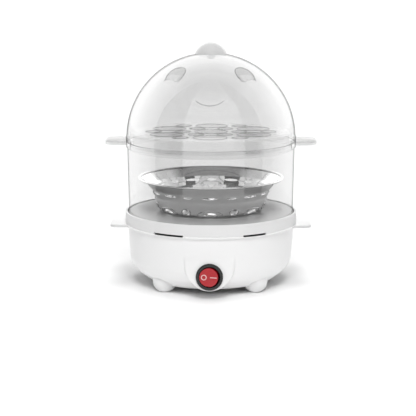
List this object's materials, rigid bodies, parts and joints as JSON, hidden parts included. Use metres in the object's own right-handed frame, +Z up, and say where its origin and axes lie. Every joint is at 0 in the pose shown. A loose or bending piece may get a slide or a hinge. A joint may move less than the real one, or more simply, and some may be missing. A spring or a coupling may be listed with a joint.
{
  "type": "egg cooker",
  "caption": "Electric egg cooker: white round base on ball feet with a rocker switch, clear tier over a steel tray, clear egg tray and clear domed lid with a knob.",
  "frame": {"origin": "on the bench at the middle of the four ball feet, under the middle of the whole object", "axes": "+Z up through the lid knob, -Y towards the rocker switch, the lifting ears along X"},
  "size_m": [0.1826, 0.1541, 0.21],
  "materials": {
    "white_plastic": "gloss white moulded polypropylene",
    "pearl_plastic": "satin off-white moulded polypropylene",
    "plate_aluminium": "cast aluminium with a grey non-stick coat",
    "dark_silicone": "dark silicone rubber",
    "black_phenolic": "black phenolic moulding",
    "zinc_steel": "zinc-plated pressed steel",
    "element_sheath": "oxidised steel sheath",
    "ceramic": "unglazed ceramic",
    "glass_sleeve": "woven glass sleeve",
    "nylon_natural": "natural nylon",
    "lead_insulation": "silicone-insulated wire",
    "blue_insulation": "silicone-insulated wire",
    "black_plastic": "black moulded nylon",
    "brass": "stamped brass",
    "lamp_glass": "clear glass with an orange glow tube",
    "red_lens": "translucent red polycarbonate",
    "black_rubber": "black moulded rubber",
    "clear_tier": "clear moulded plastic",
    "clear_tray": "clear moulded plastic",
    "clear_lid": "clear moulded plastic",
    "stainless": "mirror-polished stainless steel",
    "frosted_knob": "translucent pale grey plastic"
  },
  "bodies": {
    "base": {"base_screws": "zinc_steel", "bottom_cover": "white_plastic", "bracket_nuts": "zinc_steel", "cable_gland": "black_rubber", "clamp_screws": "zinc_steel", "cover_screws": "zinc_steel", "element_bushes": "ceramic", "element_lead": "lead_insulation", "element_pins": "zinc_steel", "foot_back_left": "white_plastic", "foot_back_right": "white_plastic", "foot_front_left": "white_plastic", "foot_front_right": "white_plastic", "fuse_sleeve": "glass_sleeve", "heat_shield": "zinc_steel", "heating_element": "element_sheath", "heating_plate": "plate_aluminium", "insulator_ring": "black_phenolic", "live_lead": "lead_insulation", "lower_shell": "white_plastic", "neutral_lead": "blue_insulation", "plate_clamp_left": "zinc_steel", "plate_clamp_rear": "zinc_steel", "plate_clamp_right": "zinc_steel", "plate_gasket": "dark_silicone", "shield_spacers": "ceramic", "switch_bezel": "black_plastic", "switch_lamp": "lamp_glass", "switch_terminals": "brass", "switched_lead": "lead_insulation", "terminal_block": "nylon_natural", "thermal_fuse": "zinc_steel", "thermostat": "black_phenolic", "thermostat_bracket": "zinc_steel", "thermostat_lead": "lead_insulation", "upper_ring": "pearl_plastic"},
    "middle_tier": {"middle_tier": "clear_tier"},
    "steel_tray": {"steel_tray": "stainless"},
    "upper_egg_tray": {"upper_egg_tray": "clear_tray"},
    "lid": {"dome_lid": "clear_lid", "lid_knob": "frosted_knob", "knob_washer": "frosted_knob", "knob_screw": "frosted_knob"},
    "rocker": {"switch_rocker": "red_lens"}
  },
  "joints": [
    {"name": "tier_lift", "type": "slide", "parent": "base", "child": "middle_tier", "axis": [0, 0, 1], "range_m": [0, 0.09]},
    {"name": "tray_lift", "type": "slide", "parent": "middle_tier", "child": "upper_egg_tray", "axis": [0, 0, 1], "range_m": [0, 0.06]},
    {"name": "lid_lift", "type": "slide", "parent": "upper_egg_tray", "child": "lid", "axis": [0, 0, 1], "range_m": [0, 0.1]},
    {"name": "steel_tray_lift", "type": "slide", "parent": "base", "child": "steel_tray", "axis": [0, 0, 1], "range_m": [0, 0.028]},
    {"name": "rocker_tilt", "type": "hinge", "parent": "base", "child": "rocker", "pos_m": [0, -0.071, 0.0205], "axis": [0, 0, 1], "range_deg": [0, 16]}
  ]
}
